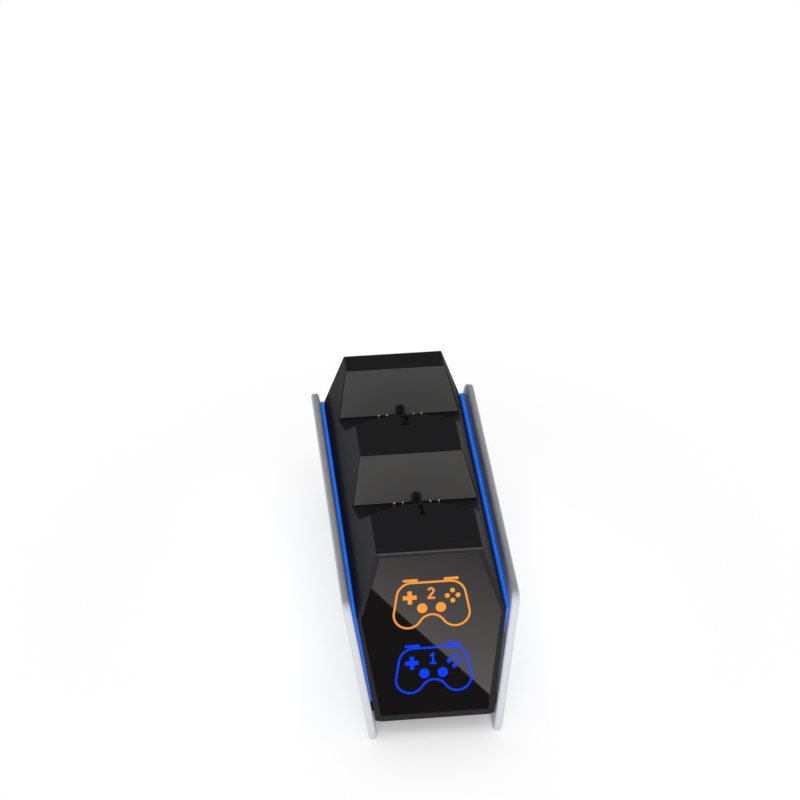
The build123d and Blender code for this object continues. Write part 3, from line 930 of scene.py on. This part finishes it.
def pin_measures(name, axis):
    """Foot point of a pin in metres, and its (collar, stem) radii and (collar, whole) heights in mm."""
    points = [vertex.co for vertex in nodes[name].data.vertices]
    foot = Vector()
    for way in (Vector((1, 0, 0)), axis.cross(Vector((1, 0, 0)))):
        reach = [point.dot(way) for point in points]
        foot += way * (min(reach) + max(reach)) / 2
    low = min(point.dot(axis) for point in points)
    foot += axis * low
    places = []
    for point in points:
        height = (point - foot).dot(axis)
        places.append(((point - foot - axis * height).length, height))
    collar = max(radius for radius, height in places)
    collar_top = max(height for radius, height in places if radius > collar - tiny)
    stem = max(radius for radius, height in places if height > collar_top + tiny)
    return foot, (collar / MM, stem / MM), (collar_top / MM, max(height for radius, height in places) / MM)


def pin_profile(radii, heights):
    collar, stem = radii
    collar_top, top = heights
    break_edge = collar - collar_bevel
    points = [(0, 0), (break_edge, 0), (collar, collar_bevel), (collar, collar_top), (stem, collar_top)]
    dome = arc((0, top - stem, stem), 0, math.pi / 2)
    return points + dome[:-1] + [(0, top)]


def along_axis(foot, axis):
    """Matrix that stands a piece on its foot point along an axis."""
    return Matrix.Translation(foot) @ axis.to_track_quat("Z", "Y").to_matrix().to_4x4()


for joint in frame["joints"]:
    name = joint["child"]
    axis = Vector(joint["axis"]).normalized()
    foot, radii, heights = pin_measures(name, axis)
    shape = bmesh.new()
    add_turned(shape, pin_profile(radii, heights))
    place = along_axis(foot, axis)
    finished(f"{name}_pin", mesh_from(name, shape), "pin_gold", place, name, (name,))
print("pins:", len(frame["joints"]), "with a stem of", round(2 * radii[1], 2), "mm")

# %% [markdown]
# ## Coil springs
# A small coil spring in each barrel pushes its pin up. A coil is a wire along a spiral, so a third tree
# draws the spiral and sweeps a round wire along it.

# %% Springs
spring_turns = 5.0
spring_radius = 0.42
spring_wire = 0.08
spring_steps = 20
wire_sides = 8


def coil_tree():
    """Sweeps a round wire along a spiral that stands on its axis."""
    tree, given = new_tree("coil", ("Turns", "Radius", "Height", "Wire"))
    turn = {"Resolution": spring_steps, "Rotations": given["Turns"], "Height": given["Height"]}
    turn.update({"Start Radius": given["Radius"], "End Radius": given["Radius"]})
    spiral = grow(tree, "GeometryNodeCurveSpiral", {}, turn)
    section = {"Resolution": wire_sides, "Radius": given["Wire"]}
    wire = grow(tree, "GeometryNodeCurvePrimitiveCircle", {"mode": "RADIUS"}, section)
    swept = {"Curve": spiral.outputs[0], "Profile Curve": wire.outputs[0], "Fill Caps": True}
    return end_tree(tree, grow(tree, "GeometryNodeCurveToMesh", {}, swept).outputs[0], given["Material"])


coil = coil_tree()
for joint in frame["joints"]:
    name = joint["child"]
    axis = Vector(joint["axis"]).normalized()
    foot = pin_measures(name, axis)[0]
    springs = name.rsplit("_", 1)[0] + "_springs"
    near = [vertex.co for vertex in nodes[springs].data.vertices if abs(vertex.co.x - foot.x) < MM]
    low = min(point.dot(axis) for point in near)
    high = max(point.dot(axis) for point in near)
    barrel_floor = foot + axis * (low - foot.dot(axis))
    values = {"Turns": spring_turns, "Radius": spring_radius, "Wire": spring_wire}
    values.update({"Height": (high - low) / MM - 2 * spring_wire, "Material": finishes["spring_steel"]})
    mesh = run_tree(coil, bpy.data.meshes.new("coil"), values)
    place = along_axis(barrel_floor + axis * spring_wire * MM, axis)
    spring = finished(f"{name}_spring", mesh, "spring_steel", place, "dock", (springs,))
    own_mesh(spring)

# %% [markdown]
# ## Screws under the cover
# Four screws hold the bottom cover. Their heads have a bevelled rim and a cross for the driver, which is
# cut by a boolean, as a press tool would. One screw is made and the grid tree puts it on the four places.

# %% Cover screws
head_radius = 1.9
head_height = 1.2
head_bevel = 0.25
shank_radius = 1.0
screw_cross_span = 2.3
screw_cross_arm = 0.55
screw_cross_depth = 0.75


def screw_mesh():
    low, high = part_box("cover_screws")
    length = (high.z - low.z) / MM
    shape = bmesh.new()
    profile = [(0, 0), (head_radius - head_bevel, 0), (head_radius, head_bevel), (head_radius, head_height)]
    profile += [(shank_radius, head_height), (shank_radius, length), (0, length)]
    add_turned(shape, profile)
    blank = linked("screw_blank", mesh_from("screw_blank", shape))
    shape = bmesh.new()
    half = screw_cross_span / 2
    arm = screw_cross_arm / 2
    for across, up in ((half, arm), (arm, half)):
        corners = [(across, up), (-across, up), (-across, -up), (across, -up)]
        add_plate(shape, corners, -screw_cross_depth, screw_cross_depth)
    cutter = linked("screw_cross", mesh_from("screw_cross", shape))
    cut = blank.modifiers.new("cross", "BOOLEAN")
    cut.operation = "DIFFERENCE"
    cut.solver = "EXACT"
    cut.use_self = True
    cut.object = cutter
    mesh = evaluated_mesh(blank)
    bpy.data.objects.remove(cutter)
    return mesh


low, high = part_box("cover_screws")
screw_span = (high - low) / MM
values = {"Width": screw_span.x - 2 * head_radius, "Length": screw_span.y - 2 * head_radius}
values.update({"Columns": 2, "Rows": 2, "Material": finishes["screw_steel"]})
screws = run_tree(grid, screw_mesh(), values)
place = Matrix.Translation(((low.x + high.x) / 2, (low.y + high.y) / 2, low.z))
finished("cover_screw_set", screws, "screw_steel", place, "dock", ("cover_screws",))
print("screws:", len(screws.polygons), "faces")

# %% [markdown]
# ## Contact strips in the power inlet
# The tongue inside the inlet carries two rows of fine gold strips. They are thin plates on both faces of the
# tongue, so the grid tree makes them as two rows, and the grid stands upright in the inlet's mouth.

# %% Inlet strips
strip_count = 12
strip_pitch = 0.5
strip_width = 0.26
strip_thickness = 0.03
strip_length = 3.6
strip_from_nose = 0.5

low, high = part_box("inlet_tongue")
shape = bmesh.new()
add_plate(shape, rectangle(strip_width / 2, strip_thickness), 0, strip_length)
values = {"Width": strip_pitch * (strip_count - 1), "Length": (high.z - low.z) / MM}
values.update({"Columns": strip_count, "Rows": 2, "Material": finishes["contact_gold"]})
strips = run_tree(grid, mesh_from("inlet_strip", shape), values)
place = Matrix.Translation((0, high.y - strip_from_nose * MM, (low.z + high.z) / 2))
place = place @ Matrix.Rotation(math.radians(90), 4, "X")
finished("inlet_strips", strips, "contact_gold", place, "dock")
print("inlet strips:", 2 * strip_count)

# %% [markdown]
# ## Floor and world
# The background is white. The floor keeps the dock's shadow: it is a pale matte sheet, lifted for the eye
# to nearly white, and further out it turns gently into even white. The lift is less where something stands
# close above the sheet, which paints a contact shadow: the soft dark line under an edge or a foot. The lift
# is seen only by the camera, by gloss and through glass, so it adds no light to the dock. The even white
# further out does light the dock, somewhat more weakly than it looks, as a white table would. The world is
# white to the same rays and dimmer as a light.

# %% Floor and world
floor_half = 3.0
shadow_reach = (0.05, 0.15)
floor_colour = (0.9, 0.9, 0.9, 1)
floor_lift = 0.67
painted_shadow_reach = 0.03
painted_shadow_depth = 0.62
floor_bounce = 0.75
world_light = 0.168


def seen_rays(tree):
    """One for rays that show a surface to the camera, directly, by gloss or through glass."""
    path = tree.nodes.new("ShaderNodeLightPath")
    rays = [Wire(tree, path.outputs[f"Is {kind} Ray"]) for kind in ("Camera", "Glossy", "Transmission")]
    return (rays[0] + rays[1] + rays[2]).clamped()


def floor_finish():
    made = Finish("floor")
    seen = seen_rays(made.tree)
    made.surface(Base_Color=floor_colour, Roughness=0.9, Specular_IOR_Level=0.0)
    # Painted shadow: the lift dims where ambient occlusion finds something close above the floor.
    cover = made.node("ShaderNodeAmbientOcclusion", {"samples": 8}, {"Distance": painted_shadow_reach})
    painted_shadow_lift = made.wire(cover, "AO") * painted_shadow_depth + (1 - painted_shadow_depth)
    made.surface(Emission_Color=painted_shadow_lift, Emission_Strength=seen * floor_lift)
    white = made.node("ShaderNodeEmission", {}, {"Strength": seen * (1 - floor_bounce) + floor_bounce})
    distance = made.node("ShaderNodeVectorMath", {"operation": "LENGTH"}, {0: made.place()})
    near, far = shadow_reach
    way = ((made.wire(distance, "Value") - near) / (far - near)).clamped()
    share = way * way * (3 - 2 * way)
    mixed = made.node("ShaderNodeMixShader", {}, {0: share, 1: made.wire(made.shader), 2: made.wire(white)})
    made.fill(made.output, {"Surface": made.wire(mixed)})
    return made.material


def stage_plane(name, corners, material):
    mesh = bpy.data.meshes.new(name)
    mesh.from_pydata(corners, [], [tuple(range(len(corners)))])
    mesh.materials.append(material)
    plane = linked(name, mesh)
    return plane


floor_corners = [(across, along, 0) for across, along in rectangle(floor_half, floor_half)]
stage_plane("floor", floor_corners, floor_finish())

world = bpy.data.worlds.new("studio")
bpy.context.scene.world = world
world.use_nodes = True
sky = world.node_tree
level = seen_rays(sky) * (1 - world_light) + world_light
background = sky.nodes["Background"]
background.inputs["Color"].default_value = (1, 1, 1, 1)
sky.links.new(level.socket, background.inputs["Strength"])
bpy.context.scene.view_settings.view_transform = "Standard"
print("floor and world ready")

# %% [markdown]
# ## Lamps
# A large soft box stands low in front and gives the plates' front rims their white. Weaker ones light the
# sides and the back: they are low and flat, so they light the outer faces of the plates and hardly their
# upper rims. A small one overhead draws the thin light line along the front edge of the deck.

# %% Softboxes
softboxes = {
    "key_softbox": {"place": (-0.2, -1.05, 0.18), "size": (0.9, 0.33), "level": 0.53},
    "left_softbox": {"place": (-0.95, 0.1, 0.06), "size": (1.0, 0.1), "level": 0.3},
    "right_softbox": {"place": (0.95, 0.0, 0.06), "size": (1.0, 0.1), "level": 0.34},
    "back_softbox": {"place": (0.15, 0.95, 0.1), "size": (0.9, 0.18), "level": 0.28},
    "top_softbox": {"place": (0.05, -0.3, 0.95), "size": (0.4, 0.22), "level": 0.05},
}
dock_middle = (cad_box[0] + cad_box[1]) / 2


def softbox(name, place, size, level):
    """A soft lamp that lights a white sheet which faces it at the dock with the given level."""
    lamp = bpy.data.lights.new(name, "AREA")
    lamp.shape = "RECTANGLE"
    lamp.size, lamp.size_y = size
    way = dock_middle - Vector(place)
    lamp.energy = level * math.pi ** 2 * way.length_squared
    holder = linked(name, lamp)
    holder.location = place
    holder.rotation_euler = way.to_track_quat("-Z", "Y").to_euler()


for name, measures in softboxes.items():
    softbox(name, **measures)
print("lamps:", len(bpy.data.lights))

# %% [markdown]
# ## Cards that only gloss sees
# Polished sheets are pictured with a soft box in front, whose straight edge draws a bright streak. The
# window is a mirror, so the place of that edge follows from the camera's mirror image: a line from there
# through a point of the window ends on the card. A bright and a dark card share the edge, close in front
# of the dock. The bright one is strongest along the edge and fades upward. A second bright card stands
# higher, where the sheen of the pads looks. A dark flag behind the dock keeps the white surroundings from
# veiling the black deck.

# %% Streak cards
streak_left = (-17.25, 47.63)
streak_right = (15.96, 12.25)
card_before_window = 0.038
card_spread = 0.12
bright_card = 2.91
bright_slope = (-13.1, -35.9)
dark_card = 0.12
card_tint = (1, 0.95, 0.94, 1)
pad_card = 1.9
pad_card_across = (-0.2, 0.2)
pad_card_up = (0.058, 0.2)
pad_card_gap = 0.002
flag_level = 0.06
flag_across = (-0.6, 0.7)
flag_behind = 0.36
flag_up = (0.03, 0.8)


def mirrored_camera():
    outward = window_face.col[2].to_3d()
    return camera_place - outward * 2 * (camera_place - window_face.translation).dot(outward)


def on_card(point):
    """Where the card has to be for the camera to see it in this point of the window."""
    spot = window_face @ Vector((point[0] * MM, point[1] * MM, 0))
    way = spot - mirrored_camera()
    card_y = window_face.translation.y - card_before_window
    return spot + way * ((card_y - spot.y) / way.y)


def gloss_card(name, corners, strength, slope=(0.0, 0.0)):
    """A card whose light changes along X and Z by the given amounts over a metre."""
    made = Finish(name)
    level = made.axis("X") * slope[0] + made.axis("Z") * slope[1] + strength
    light = made.node("ShaderNodeEmission", {}, {"Color": card_tint, "Strength": level})
    made.fill(made.output, {"Surface": made.wire(light)})
    card = stage_plane(name, corners, made.material)
    for ray in ("camera", "diffuse", "shadow", "transmission"):
        setattr(card, f"visible_{ray}", False)


def upright(across, along, up):
    """Corners of an upright card between two places across and two heights."""
    left, right = across
    low, high = up
    return [(left, along, low), (right, along, low), (right, along, high), (left, along, high)]


edge_start = on_card(streak_left)
edge_end = on_card(streak_right)
edge = (edge_end - edge_start).normalized() * card_spread
first = edge_start - edge
last = edge_end + edge
shift = Vector((-edge.z, 0, edge.x))
gloss_card("bright_card", [first, last, last + shift, first + shift], bright_card, bright_slope)
gloss_card("dark_card", [first, last, last - shift, first - shift], dark_card)
gloss_card("dark_flag", upright(flag_across, flag_behind, flag_up), flag_level)
gloss_card("pad_card", upright(pad_card_across, edge_start.y + pad_card_gap, pad_card_up), pad_card)
for end in (edge_start, edge_end):
    print("streak edge ends at", [round(part, 4) for part in end])
